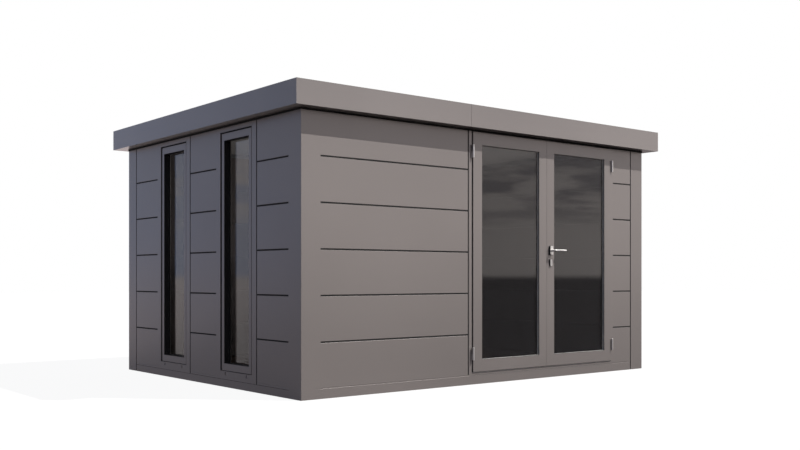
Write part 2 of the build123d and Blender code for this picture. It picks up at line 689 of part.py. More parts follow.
# Roof panels with trapezoidal ribs that run down the fall. They stop short of the
# back fascia, which is the gutter.
roof_span = SHED_WIDTH + 2 * (ROOF_OVERHANG - FASCIA_SHEET - ROOF_EDGE_GAP)
panel_width = roof_span / ROOF_PANELS
rib_pitch = panel_width / ROOF_RIBS
panel_run = roof_fall.length - FASCIA_SHEET - ROOF_EDGE_GAP - ROOF_GUTTER
for count in range(ROOF_PANELS):
    panel_start = -roof_span / 2 + panel_width * count
    outline = [(0, ROOF_CORE)]
    for rib in range(ROOF_RIBS):
        middle = rib_pitch * (rib + 0.5)
        outline += [
            (middle - ROOF_RIB_FOOT / 2, ROOF_CORE),
            (middle - ROOF_RIB_CREST / 2, ROOF_CORE + ROOF_RIB_HEIGHT),
            (middle + ROOF_RIB_CREST / 2, ROOF_CORE + ROOF_RIB_HEIGHT),
            (middle + ROOF_RIB_FOOT / 2, ROOF_CORE),
        ]
    outline += [(panel_width, ROOF_CORE), (panel_width, 0), (0, 0)]
    start = roof_underside.origin + fall_direction * (FASCIA_SHEET + ROOF_EDGE_GAP)
    panel_plane = Plane(
        origin=start + Vector(panel_start, 0, 0),
        x_dir=(1, 0, 0),
        z_dir=fall_direction * -1,
    )
    with BuildPart() as roof_panel:
        with BuildSketch(panel_plane):
            with BuildLine():
                Polyline(*outline, close=True)
            make_face()
        extrude(amount=-panel_run)
    save(roof_panel, f"roof_panel_{count + 1}")


# Fascia: folded sheet with a closed soffit below and a hemmed cap above
def fascia_outline():
    sheet = FASCIA_SHEET
    out = ROOF_OVERHANG
    cap = out - FASCIA_CAP
    return [
        (-FASCIA_BEARING, WALL_TOP),
        (out, WALL_TOP),
        (out, fascia_top),
        (cap, fascia_top),
        (cap, fascia_top - FASCIA_HEM),
        (cap + sheet, fascia_top - FASCIA_HEM),
        (cap + sheet, fascia_top - sheet),
        (out - sheet, fascia_top - sheet),
        (out - sheet, WALL_TOP + sheet),
        (-FASCIA_BEARING, WALL_TOP + sheet),
    ]


def fascia(name, wall, length, start=None, end=None, outlets=()):
    """Fascia along a wall, mitred where it meets the corner of the roof.

    outlets are the places along the wall of the rainwater spigots in the soffit.
    """
    run_start = -ROOF_OVERHANG if start is None else start
    run_end = length + ROOF_OVERHANG if end is None else end
    with BuildPart() as piece:
        with BuildSketch(section_at(wall, run_start)) as section:
            with BuildLine():
                Polyline(*fascia_outline(), close=True)
            make_face()
            inner_folds, outer_folds = section.vertices().group_by(Axis.X)[-2:]
            fillet(inner_folds, FASCIA_FOLD_RADIUS - FASCIA_SHEET)
            fillet(outer_folds, FASCIA_FOLD_RADIUS)
        extrude(amount=run_start - run_end)
        if start is None:
            mitre = Plane(origin=wall.origin, z_dir=wall.x_dir + wall.z_dir)
            split(bisect_by=mitre, keep=Keep.TOP)
        if end is None:
            corner = wall.origin + wall.x_dir * length
            mitre = Plane(origin=corner, z_dir=wall.x_dir * -1 + wall.z_dir)
            split(bisect_by=mitre, keep=Keep.TOP)
        for along in outlets:
            middle = wall.origin + wall.x_dir * along + wall.z_dir * ROOF_OVERHANG / 2
            foot = Plane(origin=middle + Vector(0, 0, WALL_TOP - OUTLET_LENGTH))
            with BuildSketch(foot):
                Circle(OUTLET_RADIUS)
            extrude(amount=OUTLET_LENGTH + FASCIA_SHEET)
            with BuildSketch(foot):
                Circle(OUTLET_RADIUS - OUTLET_SHEET)
            extrude(amount=OUTLET_LENGTH + FASCIA_SHEET, mode=Mode.SUBTRACT)
    save(piece, name)


fascia_joint = left_jamb_start - FASCIA_JOINT_OFFSET
fascia("fascia_front_left", front_wall, SHED_WIDTH, end=fascia_joint - FASCIA_JOINT_GAP / 2)
fascia("fascia_front_right", front_wall, SHED_WIDTH, start=fascia_joint + FASCIA_JOINT_GAP / 2)
fascia("fascia_right", right_wall, SHED_DEPTH)
back_outlets = (OUTLET_FROM_CORNER, SHED_WIDTH - OUTLET_FROM_CORNER)
fascia("fascia_back", back_wall, SHED_WIDTH, outlets=back_outlets)
fascia("fascia_left", left_wall, SHED_DEPTH)
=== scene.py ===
# %% [markdown]
# # A metal garden shed
#
# The shed is a flat-roofed garden building of powder-coated steel panels, with a pair
# of glazed doors in front and two tall fixed windows in the left wall. Its pieces come
# ready made, at their real size, as a fixed frame. This lesson gives them their
# finishes, adds the small fittings that a builder would put on last, and lights them
# as in a product picture. Everything is in metres, with the front towards -Y.

# %% Load the frame
import json
import math

import bpy
from mathutils import Matrix, Vector


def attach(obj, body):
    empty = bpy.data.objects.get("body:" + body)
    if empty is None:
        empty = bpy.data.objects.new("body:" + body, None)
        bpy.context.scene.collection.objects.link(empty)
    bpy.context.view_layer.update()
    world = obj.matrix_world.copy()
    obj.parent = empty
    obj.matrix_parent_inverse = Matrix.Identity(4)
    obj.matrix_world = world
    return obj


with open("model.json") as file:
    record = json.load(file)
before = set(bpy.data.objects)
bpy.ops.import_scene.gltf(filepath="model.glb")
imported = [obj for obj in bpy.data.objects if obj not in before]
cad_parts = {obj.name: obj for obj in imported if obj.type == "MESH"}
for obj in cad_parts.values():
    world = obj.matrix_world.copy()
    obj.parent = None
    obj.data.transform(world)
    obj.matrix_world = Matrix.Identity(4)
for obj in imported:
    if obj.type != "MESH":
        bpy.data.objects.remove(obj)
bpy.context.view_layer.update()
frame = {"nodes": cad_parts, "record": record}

# %% [markdown]
# ## The camera
#
# The picture was taken from the front left, just under a metre above the ground, with
# the camera level. A level camera keeps upright edges upright, so the horizon is moved
# down the picture with the lens shift and not by tilting. The camera could be turned by
# three angles, but a level one needs no more than its heading, which is easy to check
# on a plan.

# %% Camera
CAMERA_PLACE = (-5.7135, -7.2894, 0.8845)
CAMERA_HEADING = math.radians(38.87)
LENS = 43.40
HORIZON_SHIFT = 0.0647

camera_data = bpy.data.cameras.new("photo_camera")
camera_data.lens = LENS
camera_data.sensor_width = 36
camera_data.shift_y = HORIZON_SHIFT
camera_data.clip_end = 200
camera = bpy.data.objects.new("photo_camera", camera_data)
bpy.context.scene.collection.objects.link(camera)
camera.location = CAMERA_PLACE
camera.rotation_euler = (math.radians(90), 0, -CAMERA_HEADING)
bpy.context.scene.camera = camera
print("camera at", CAMERA_PLACE, "heading", round(math.degrees(CAMERA_HEADING), 2))

# %% [markdown]
# ## Helpers for shader nodes
#
# A finish is a small network of nodes. Each node could be wired line by line, but the
# same few lines would come back all the time. So the first helpers add one node with
# its settings, join two of them and start a finish.

# %% Nodes
def add_node(tree, kind, settings=(), **inputs):
    """One node with its settings, and values for its inputs, with _ for each space."""
    node = tree.nodes.new(kind)
    for name, value in dict(settings).items():
        setattr(node, name, value)
    for name, value in inputs.items():
        node.inputs[name.replace("_", " ")].default_value = value
    return node


def join(tree, source, output, target, entry):
    tree.links.new(source.outputs[output], target.inputs[entry])
    return target


def new_finish(name):
    """An empty material with its Principled shader already joined to the output."""
    finish = bpy.data.materials.new(name)
    finish.use_nodes = True
    tree = finish.node_tree
    tree.nodes.clear()
    shader = add_node(tree, "ShaderNodeBsdfPrincipled")
    output = add_node(tree, "ShaderNodeOutputMaterial")
    join(tree, shader, "BSDF", output, "Surface")
    return finish, tree, shader, output


print("node helpers ready")

# %% [markdown]
# ### Patterns
#
# Patterns read Object coordinates: every piece has its origin at the middle of the
# shed's base, so a pattern runs on unbroken from one piece to the next, and its size is
# in metres. Unwrapped coordinates would start it afresh on each piece instead.

# %% Patterns
def place(tree, stretch=(1, 1, 1)):
    """Object coordinates, stretched for patterns that run one way."""
    coordinates = add_node(tree, "ShaderNodeTexCoord")
    mapping = add_node(tree, "ShaderNodeMapping", Scale=stretch)
    return join(tree, coordinates, "Object", mapping, "Vector")


def noise(tree, size, detail=2, stretch=(1, 1, 1)):
    """Noise whose blotches are about size metres across."""
    texture = add_node(tree, "ShaderNodeTexNoise", Scale=1 / size, Detail=detail)
    return join(tree, place(tree, stretch), "Vector", texture, "Vector")


def between(tree, source, output, low, high):
    """Spreads a value from 0..1 over low..high."""
    spread = add_node(tree, "ShaderNodeMapRange", To_Min=low, To_Max=high)
    return join(tree, source, output, spread, "Value")


def bump(tree, source, output, height, normal=None):
    """Bump whose ridges are height metres high, on top of an earlier bump."""
    node = add_node(tree, "ShaderNodeBump", Strength=1, Distance=height)
    join(tree, source, output, node, "Height")
    if normal:
        join(tree, normal, "Normal", node, "Normal")
    return node


print("pattern helpers ready")

# %% [markdown]
# ### Colours
#
# Colours are mixed in few ways too: run from a dark tone to a light one, made lighter
# or darker by a value, or mixed from two. A Mix node has sockets for numbers, vectors
# and colours under the same names, so the colour ones are found by their type.

# %% Colours
def two_tones(tree, source, output, dark, light):
    """Colour that runs from dark to light as a value goes from 0 to 1."""
    ramp = add_node(tree, "ShaderNodeValToRGB")
    ramp.color_ramp.elements[0].color = (*dark, 1)
    ramp.color_ramp.elements[1].color = (*light, 1)
    return join(tree, source, output, ramp, "Fac")


def scaled(tree, colour, factor):
    """Colour made lighter or darker by the value of a socket."""
    tint = add_node(tree, "ShaderNodeVectorMath", {"operation": "SCALE"})
    tint.inputs[0].default_value = colour
    tree.links.new(factor, tint.inputs["Scale"])
    return tint


def blended(tree, factor, first, second):
    """Mixes two colours, each a socket or a fixed colour, by a socket."""
    mixed = add_node(tree, "ShaderNodeMix", {"data_type": "RGBA"})
    entries = [socket for socket in mixed.inputs if socket.type == "RGBA"]
    tree.links.new(factor, mixed.inputs[0])
    for entry, colour in zip(entries, (first, second)):
        if isinstance(colour, tuple):
            entry.default_value = colour
        else:
            tree.links.new(colour, entry)
    return [socket for socket in mixed.outputs if socket.type == "RGBA"][0]


print("colour helpers ready")

# %% [markdown]
# ### Sums and shaders
#
# The last two helpers work out a value from two others, and mix two shaders by a value.
# A fixed number could have a node of its own, but it fits in the Math node's own entry.

# %% Sums and shaders
def worked_out(tree, operation, first, second):
    """A sum of one socket and another socket or a fixed number."""
    node = add_node(tree, "ShaderNodeMath", {"operation": operation})
    tree.links.new(first, node.inputs[0])
    if isinstance(second, float):
        node.inputs[1].default_value = second
    else:
        tree.links.new(second, node.inputs[1])
    return node.outputs["Value"]


def two_shaders(tree, factor, first, second):
    """Mixes two shaders, each given by its output socket."""
    mixed = add_node(tree, "ShaderNodeMixShader")
    tree.links.new(factor, mixed.inputs["Fac"])
    tree.links.new(first, mixed.inputs[1])
    tree.links.new(second, mixed.inputs[2])
    return mixed


print("sums and shaders ready")

# %% [markdown]
# ## Powder-coated steel
#
# The walls, posts, doors and fascia are sheet steel with a satin powder coat. The powder
# melts into a skin with a faint orange peel, a few millimetres from crest to crest, and
# the sheet behind it is never quite flat, which is what makes long panels look like
# metal. A plain colour would look like card. So the colour shifts by a few percent over
# the wall and from speck to speck, the gloss varies a little, and two bumps are stacked:
# the slow waves of the sheet under the fine peel of the coat. The fascia gets the same
# coat a little glossier, and a little lighter as painted light, for the extra sky light
# that it catches above the wall, which lies partly in the overhang's shade.
#
# The denoiser takes a surface for a mirror when its roughness is below about 0.27. A
# finish that crossed that value would show the crossing as a curved line, so each one
# keeps its whole range on one side of it.

# %% Powder coat
SHEET_WAVES, SHEET_WAVE_HEIGHT = 0.7, 0.0012
PEEL, PEEL_HEIGHT = 0.003, 0.00001
GLOSS_SPREAD = 0.03


def powder_coat(name, colour, roughness, metallic):
    """A coat whose roughness stays within GLOSS_SPREAD of the one given."""
    finish, tree, shader, output = new_finish(name)
    drift = between(tree, noise(tree, 0.9), "Fac", 0.93, 1.07)
    speck = between(tree, noise(tree, 0.0015, detail=0), "Fac", 0.96, 1.04)
    shade = worked_out(tree, "MULTIPLY", drift.outputs["Result"], speck.outputs["Result"])
    tint = scaled(tree, colour, shade)
    join(tree, tint, "Vector", shader, "Base Color")
    slow = noise(tree, 0.6, detail=1)
    gloss = between(tree, slow, "Fac", roughness - GLOSS_SPREAD, roughness + GLOSS_SPREAD)
    join(tree, gloss, "Result", shader, "Roughness")
    waves = bump(tree, noise(tree, SHEET_WAVES, detail=1), "Fac", SHEET_WAVE_HEIGHT)
    peel = bump(tree, noise(tree, PEEL, detail=1), "Fac", PEEL_HEIGHT, waves)
    join(tree, peel, "Normal", shader, "Normal")
    shader.inputs["Metallic"].default_value = metallic
    shader.inputs["Coat Weight"].default_value = 0.6
    shader.inputs["Coat Roughness"].default_value = 0.35
    return finish, tree, shader, tint


WALL_GREY = (0.253, 0.230, 0.220)
# The fascia's grey is lighter than the wall's as painted light: the fascia catches more sky
# than the wall below it.
LIT_FASCIA_GREY = (0.278, 0.256, 0.246)
wall_steel, *_ = powder_coat("satin_grey_powder_coat", WALL_GREY, 0.315, 0.42)
lit_fascia_steel, *_ = powder_coat("smooth_grey_powder_coat", LIT_FASCIA_GREY, 0.19, 0.45)
print("made", wall_steel.name, "and", lit_fascia_steel.name)

# %% [markdown]
# ## Roof sheet
#
# The roof sheets have a duller coat in a darker grey on top. Underneath they carry only
# the pale back coat that sheet mills put on the hidden side, and it shows from inside as
# a light ceiling. Two materials would need the sheet's faces sorted by hand. One can do
# both, because the direction that the surface faces says which side it is.

# %% Roof sheet
ROOF_GREY = (0.105, 0.105, 0.110)
BACK_COAT = (0.62, 0.60, 0.57)
FACES_DOWN = -0.5

roof_sheet, tree, shader, tint = powder_coat("roof_sheet_coat", ROOF_GREY, 0.62, 0.0)
shader.inputs["Coat Weight"].default_value = 0.0
shader.inputs["Specular IOR Level"].default_value = 0.25
facing = add_node(tree, "ShaderNodeNewGeometry")
facing_parts = add_node(tree, "ShaderNodeSeparateXYZ")
join(tree, facing, "Normal", facing_parts, "Vector")
underneath = worked_out(tree, "LESS_THAN", facing_parts.outputs["Z"], FACES_DOWN)
both_sides = blended(tree, underneath, tint.outputs["Vector"], (*BACK_COAT, 1))
tree.links.new(both_sides, shader.inputs["Base Color"])
print("made", roof_sheet.name)

# %% [markdown]
# ## Galvanized and stainless steel
#
# Zinc freezes on hot-dipped steel in leaf-like crystals, each a slightly different grey
# and gloss. Noise would blur them into each other, while a Voronoi texture gives just
# such cells. Stainless steel is ground along one direction instead, so its noise is
# stretched into long scratches along the lever, and its highlight is drawn out across
# them.

# %% Bare metals
ZINC_CRYSTAL = 0.012


def galvanized_steel():
    finish, tree, shader, output = new_finish("galvanized_steel")
    cells = add_node(tree, "ShaderNodeTexVoronoi", Scale=1 / ZINC_CRYSTAL)
    join(tree, place(tree), "Vector", cells, "Vector")
    tone = two_tones(tree, cells, "Color", (0.36, 0.37, 0.38), (0.58, 0.59, 0.60))
    join(tree, tone, "Color", shader, "Base Color")
    gloss = between(tree, cells, "Color", 0.34, 0.50)
    join(tree, gloss, "Result", shader, "Roughness")
    shader.inputs["Metallic"].default_value = 1
    join(tree, bump(tree, cells, "Distance", 0.00003), "Normal", shader, "Normal")
    return finish


def brushed_stainless():
    finish, tree, shader, output = new_finish("brushed_stainless")
    scratches = noise(tree, 0.0008, detail=4, stretch=(0.04, 1, 1))
    tone = two_tones(tree, scratches, "Fac", (0.70, 0.69, 0.675), (0.86, 0.85, 0.83))
    join(tree, tone, "Color", shader, "Base Color")
    gloss = between(tree, scratches, "Fac", 0.30, 0.42)
    join(tree, gloss, "Result", shader, "Roughness")
    shader.inputs["Metallic"].default_value = 0.8
    shader.inputs["Anisotropic"].default_value = 0.4
    join(tree, bump(tree, scratches, "Fac", 0.00002), "Normal", shader, "Normal")
    return finish


galvanized = galvanized_steel()
stainless = brushed_stainless()
print("made", galvanized.name, "and", stainless.name)

# %% [markdown]
# ## Rubber and floor board
#
# The seals are black rubber with a dull, slightly dusty skin. The floor is film-faced
# plywood: a dark brown resin film with the print of a fine mesh, and the grain of the
# veneer showing faintly through. The mesh could be real wires, but it is only a print,
# so two sets of fine waves, one across the other, are stacked as bumps.

# %% Rubber and board
MESH_PRINT, MESH_PRINT_HEIGHT = 0.012, 0.0001


def black_rubber():
    finish, tree, shader, output = new_finish("black_rubber")
    dust = noise(tree, 0.02, detail=5)
    tone = two_tones(tree, dust, "Fac", (0.005, 0.005, 0.0055), (0.014, 0.014, 0.0145))
    join(tree, tone, "Color", shader, "Base Color")
    shader.inputs["Specular IOR Level"].default_value = 0.35
    gloss = between(tree, dust, "Fac", 0.55, 0.75)
    join(tree, gloss, "Result", shader, "Roughness")
    join(tree, bump(tree, noise(tree, 0.001), "Fac", 0.00005), "Normal", shader, "Normal")
    return finish


def floor_board():
    finish, tree, shader, output = new_finish("film_faced_board")
    grain = noise(tree, 0.03, detail=6, stretch=(1, 0.06, 1))
    tone = two_tones(tree, grain, "Fac", (0.085, 0.052, 0.034), (0.150, 0.096, 0.062))
    join(tree, tone, "Color", shader, "Base Color")
    print_bumps = None
    for way in ("X", "Y"):
        wires = add_node(
            tree, "ShaderNodeTexWave", {"bands_direction": way}, Scale=1 / MESH_PRINT
        )
        join(tree, place(tree), "Vector", wires, "Vector")
        print_bumps = bump(tree, wires, "Fac", MESH_PRINT_HEIGHT, print_bumps)
    join(tree, print_bumps, "Normal", shader, "Normal")
    shader.inputs["Roughness"].default_value = 0.5
    return finish


rubber = black_rubber()
board = floor_board()
print("made", rubber.name, "and", board.name)

# %% [markdown]
# ## Glass
#
# Glass could be a plain transparent shader, but then it would lose its reflections,
# which are most of what the picture shows. A Principled shader with full transmission
# gives both. Light that only passes through on its way to the inside takes the
# Transparent shader instead, because refracted light would otherwise never reach the
# floor. The tint varies by a few percent, as a thin film of dust does.

# %% Glass
SHADE_TINT = (0.34, 0.34, 0.34)


def tinted_glass(name, tint, gloss):
    finish, tree, shader, output = new_finish(name)
    shader.inputs["Transmission Weight"].default_value = 1
    shader.inputs["IOR"].default_value = 1.50
    shader.inputs["Specular IOR Level"].default_value = gloss
    shader.inputs["Roughness"].default_value = 0.0
    film = between(tree, noise(tree, 0.4, detail=1), "Fac", 0.97, 1.03)
    join(tree, scaled(tree, tint, film.outputs["Result"]), "Vector", shader, "Base Color")
    passing = add_node(tree, "ShaderNodeBsdfTransparent", Color=(*SHADE_TINT, 1))
    rays = add_node(tree, "ShaderNodeLightPath").outputs
    lights_inside = worked_out(tree, "MAXIMUM", rays["Is Shadow Ray"], rays["Is Diffuse Ray"])
    mixed = two_shaders(tree, lights_inside, shader.outputs["BSDF"], passing.outputs["BSDF"])
    join(tree, mixed, "Shader", output, "Surface")
    return finish


door_glass = tinted_glass("tinted_door_glass", (0.26, 0.25, 0.26), 0.5)
window_glass = tinted_glass("tinted_window_glass", (0.60, 0.58, 0.58), 0.2)
print("made", door_glass.name, "and", window_glass.name)

# %% [markdown]
# ## Dressing the frame
#
# Each piece could be dressed by name, but the record already says which slot it takes
# its finish from, so one loop dresses the whole shed. The window glass and the fascia
# have finishes of their own within their slots. A piece's own mesh isn't touched: only
# its material slot changes.

# %% Finishes by slot
finishes = {
    "grey_steel": wall_steel,
    "roof_sheet": roof_sheet,
    "galvanized_steel": galvanized,
    "stainless_steel": stainless,
    "black_rubber": rubber,
    "floor_board": board,
    "glass": door_glass,
}
for subpart in frame["record"]["subparts"]:
    node = frame["nodes"][subpart["node"]]
    node.data.materials.clear()
    node.data.materials.append(finishes[subpart["material_slot"]])
for name in ("left_window_front_glass", "left_window_back_glass"):
    frame["nodes"][name].data.materials[0] = window_glass
# The fascia takes the lighter coat, which is painted light.
for name, node in frame["nodes"].items():
    if name.startswith("fascia"):
        node.data.materials[0] = lit_fascia_steel
print("dressed", len(frame["nodes"]), "pieces")

# %% [markdown]
# ## Small fittings
#
# The frame has the sheet metal, the doors and the glass. A builder still has to add
# rubber in the gaps, screws in the roof and trim round the panes; much of the black rubber
# is painted shade, and the pale trim is painted light. Each of these is modelled here the
# way it would be by hand: a primitive is added at its size and place, its faces and edges
# are picked by where they lie, and edit-mode operators shape it.
# The object is then set in place, so that its origin is the shed's own origin, and it
# rides on the body that carries it. The first helpers do just that.

# %% Hands for modelling
def deselect_all():
    bpy.ops.object.select_all(action="DESELECT")


def set_in_place(piece):
    """Moves the object's place, turn and size into its mesh."""
    deselect_all()
    piece.select_set(True)
    bpy.context.view_layer.objects.active = piece
    bpy.ops.object.transform_apply(location=True, rotation=True, scale=True)


def pick(piece, kind, chosen):
    """Opens the piece in edit mode with the faces or edges that chosen() says yes to."""
    bpy.ops.object.mode_set(mode="EDIT")
    bpy.ops.mesh.select_mode(type=kind)
    bpy.ops.mesh.select_all(action="DESELECT")
    bpy.ops.object.mode_set(mode="OBJECT")
    for element in piece.data.polygons if kind == "FACE" else piece.data.edges:
        element.select = chosen(piece.data, element)
    bpy.ops.object.mode_set(mode="EDIT")


print("ready to model")

# %% [markdown]
# ### Joining, copying and fitting
#
# A row of strips is joined to one piece, as it is bought and counted as one. Linked
# copies would be lighter, but each copy gets a mesh of its own, so that it can be moved
# within its mesh and joined to the others. A finished piece is given its finish and the
# body that carries it.

# %% Joining, copying and fitting
def joined(name, pieces):
    """Makes one piece of several, each with its own mesh."""
    deselect_all()
    for piece in pieces:
        piece.select_set(True)
    bpy.context.view_layer.objects.active = pieces[0]
    if len(pieces) > 1:
        bpy.ops.object.join()
    pieces[0].name = pieces[0].data.name = name
    return pieces[0]


def copied(piece, offset):
    """A copy with a mesh of its own, moved by offset."""
    twin = piece.copy()
    twin.data = piece.data.copy()
    twin.data.transform(Matrix.Translation(offset))
    bpy.context.scene.collection.objects.link(twin)
    return twin


def fitted(piece, body, finish):
    """Gives a piece its finish and the body that it moves with."""
    piece.data.materials.clear()
    piece.data.materials.append(finish)
    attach(piece, body)
    print("fitted", piece.name, "with", len(piece.data.polygons), "faces")


print("ready to fit pieces")

# %% [markdown]
# ### A straight length
#
# Most of the trim is a straight length of something: a rubber strip, a bead, a rib. A
# curve with a bevel would do for a cable, but these are cut square from stock, with
# slightly rounded long edges. So a cube is stretched between two corners and the edges
# that run along it are bevelled.

# %% Straight lengths
def runs_along(mesh, edge, axis):
    start, end = (mesh.vertices[index].co for index in edge.vertices)
    return abs((end - start).normalized()[axis]) > 0.99


def length_of(low, high, rounding):
    """A straight length between two corners, with its long edges rounded."""
    low, high = Vector(low), Vector(high)
    deselect_all()
    bpy.ops.mesh.primitive_cube_add(size=1, location=(low + high) / 2)
    piece = bpy.context.active_object
    piece.scale = high - low
    axis = max(range(3), key=lambda index: high[index] - low[index])
    set_in_place(piece)
    pick(piece, "EDGE", lambda mesh, edge: runs_along(mesh, edge, axis))
    bpy.ops.mesh.bevel(offset=rounding, segments=3, affect="EDGES")
    bpy.ops.object.mode_set(mode="OBJECT")
    return piece


print("straight lengths ready")

# %% [markdown]
# ### A closed frame
#
# A bead round a pane or a shell round a plate is a closed frame. Four lengths would
# leave joints at the corners. So a plane is inset, its middle is taken out, and the
# ring that is left is extruded inwards. Its corners can be rounded first.

# %% Closed frames
FACING_FRONT = (math.radians(90), 0, 0)
FACING_LEFT = (math.radians(90), 0, math.radians(-90))


def closed_frame(centre, width, height, band, depth, turn, corner=0):
    """A frame round an opening, its front at centre, going depth metres inwards."""
    deselect_all()
    bpy.ops.mesh.primitive_plane_add(size=1, location=centre, rotation=turn)
    piece = bpy.context.active_object
    piece.scale = (width, height, 1)
    inwards = -(piece.rotation_euler.to_matrix() @ Vector((0, 0, 1)))
    set_in_place(piece)
    bpy.ops.object.mode_set(mode="EDIT")
    if corner:
        bpy.ops.mesh.select_mode(type="VERT")
        bpy.ops.mesh.select_all(action="SELECT")
        bpy.ops.mesh.bevel(offset=corner, segments=6, affect="VERTICES")
        bpy.ops.mesh.select_mode(type="FACE")
    bpy.ops.mesh.select_all(action="SELECT")
    bpy.ops.mesh.inset(thickness=band)
    bpy.ops.mesh.delete(type="FACE")
    bpy.ops.mesh.select_all(action="SELECT")
    bpy.ops.mesh.extrude_region_move(TRANSFORM_OT_translate={"value": inwards * depth})
    bpy.ops.mesh.select_all(action="SELECT")
    bpy.ops.mesh.normals_make_consistent(inside=False)
    bpy.ops.object.mode_set(mode="OBJECT")
    return piece


print("closed frames ready")

# %% [markdown]
# ### Places in a wall
#
# What lies in a wall is easiest to describe from the wall itself: its stretch along the
# wall, how deep behind the face it starts and ends, and its heights. Writing out the
# corners for each of the four walls would invite mistakes, so one helper turns such a
# description into two corners. A depth below zero stands out of the wall.

# %% Walls
WALL_LEFT, WALL_RIGHT, WALL_FRONT, WALL_BACK = -1.952, 1.952, -1.5, 1.5
# For each wall: the axis that it faces, the place of its face and the way inwards
WALLS = {
    "left": ("x", WALL_LEFT, 1),
    "right": ("x", WALL_RIGHT, -1),
    "front": ("y", WALL_FRONT, 1),
    "back": ("y", WALL_BACK, -1),
}
# Stretches of panel between the seams
SIDE_PANELS = ((-1.333, -0.888), (-0.875, 0.216), (0.229, 1.320))
BACK_PANELS = ((0.608, 1.785), (-0.582, 0.595), (-1.772, -0.595))


def in_wall(wall, stretch, depths, heights):
    """The two corners of a box that lies in a wall."""
    axis, face, inwards = WALLS[wall]
    across = sorted(face + inwards * depth for depth in depths)
    if axis == "x":
        return tuple(zip(across, stretch, heights))
    return tuple(zip(stretch, across, heights))


print("walls from", WALL_LEFT, "to", WALL_RIGHT, "and from", WALL_FRONT, "to", WALL_BACK)

# %% [markdown]
# ## Painted shade: black strips in the level grooves
#
# Each wall sheet has five deep level grooves. A black rubber strip in each one is painted
# shade: it makes the groove as black as deep shade. Black paint in a groove would look
# the same from afar, but a strip of its own catches the light on its rounded nose. It lies
# just behind the wall's face. One strip is made for each stretch of wall and copied up
# to the other grooves.

# %% Groove strips
GROOVE_HEIGHTS = (0.4098, 0.7476, 1.0854, 1.4232, 1.7610)
GROOVE_LOW, GROOVE_HIGH = -0.0052, 0.0057
GROOVE_DEPTHS = (0.0020, 0.0190)
STRIP_ROUNDING = 0.002
GROOVED_STRETCHES = {
    "left": ((-1.333, -0.888), (-0.238, 0.216), (0.866, 1.320)),
    "right": SIDE_PANELS,
    "front": ((-1.785, -0.336), (1.518, 1.772)),
    "back": BACK_PANELS,
}

# Each strip is painted shade: a black piece where the groove would lie in shade.
for wall, stretches in GROOVED_STRETCHES.items():
    lowest = GROOVE_HEIGHTS[0]
    strip_heights = (lowest + GROOVE_LOW, lowest + GROOVE_HIGH)
    strips = []
    for stretch in stretches:
        corners = in_wall(wall, stretch, GROOVE_DEPTHS, strip_heights)
        strip = length_of(*corners, STRIP_ROUNDING)
        strips.append(strip)
        for height in GROOVE_HEIGHTS[1:]:
            strips.append(copied(strip, (0, 0, height - lowest)))
    fitted(joined(wall + "_wall_groove_shade_strips", strips), "shed", rubber)

# %% [markdown]
# ## Painted shade: black strips in the upright seams
#
# Where two wall sheets meet, and beside the posts, an upright seam is left open. A black
# rubber profile in it is painted shade: it makes the seam as black as a deep slot in
# shade. It could share the level strips' shape, but it has to run the whole height in one
# length, so it is a length of its own. Beside the doors the seam stops at the fold line.

# %% Seam strips
SEAM_WIDTH = 0.0124
SEAM_DEPTHS = (0.0025, 0.023)
SEAM_FOOT, SEAM_TOP = 0.0605, 2.0925
FOLD_LINE_FOOT = 0.0755
SEAMS = (
    ("left", (1.3203, 0.2163, -0.8877), SEAM_FOOT),
    ("right", (-0.8877, 0.2163, 1.3203), SEAM_FOOT),
    ("front", (-0.3357,), FOLD_LINE_FOOT),
    ("front", (1.7723,), SEAM_FOOT),
    ("back", (0.5953, -0.5947, -1.7847), SEAM_FOOT),
)

# The seam strips are painted shade: black pieces where the seams would lie in shade.
seams = []
for wall, starts, foot in SEAMS:
    for start in starts:
        corners = in_wall(wall, (start, start + SEAM_WIDTH), SEAM_DEPTHS, (foot, SEAM_TOP))
        seams.append(length_of(*corners, STRIP_ROUNDING))
fitted(joined("seam_shade_strips", seams), "shed", rubber)

# %% [markdown]
# ## Seals under the panels
#
# A panel is set down on a flat seal on the base rail, which keeps water from creeping
# in. Only its edge shows, as a hair line above the rail. A dark line in the finish would
# do, but the seal stands out by less than a millimetre and so throws a line of its own.
# It lies under the panels of the left, right and back walls.

# %% Panel foot seals
SEAL_DEPTHS = (-0.0008, 0.004)
SEAL_HEIGHTS = (0.0598, 0.0622)
SEAL_ROUNDING = 0.0004
SEALED_PANELS = {"left": SIDE_PANELS, "right": SIDE_PANELS, "back": BACK_PANELS}

feet = [
    length_of(*in_wall(wall, stretch, SEAL_DEPTHS, SEAL_HEIGHTS), SEAL_ROUNDING)
    for wall, panels in SEALED_PANELS.items()
    for stretch in panels
]
fitted(joined("panel_foot_seals", feet), "shed", rubber)

# %% [markdown]
# ## Painted shade: rubber round the windows
#
# Each window stands in a wide gap of its own, which is packed with black rubber on all
# four sides as painted shade, so the gap looks as black as a deep reveal in shade. The
# gap is wider at the sides than above and below, so four straight lengths suit it better
# than one closed frame.

# %% Window packing
WINDOW_LOW, WINDOW_HIGH = 0.132, 2.035
WINDOWS = ((-0.790, -0.324), (0.314, 0.780))
WINDOW_DEPTHS = (0.0070, 0.0195)
SIDE_GAP, GAP_ABOVE, GAP_BELOW, PACKING_PLAY = 0.0168, 0.0108, 0.0038, 0.0002
PACKING_ROUNDING, THIN_PACKING_ROUNDING = 0.002, 0.001

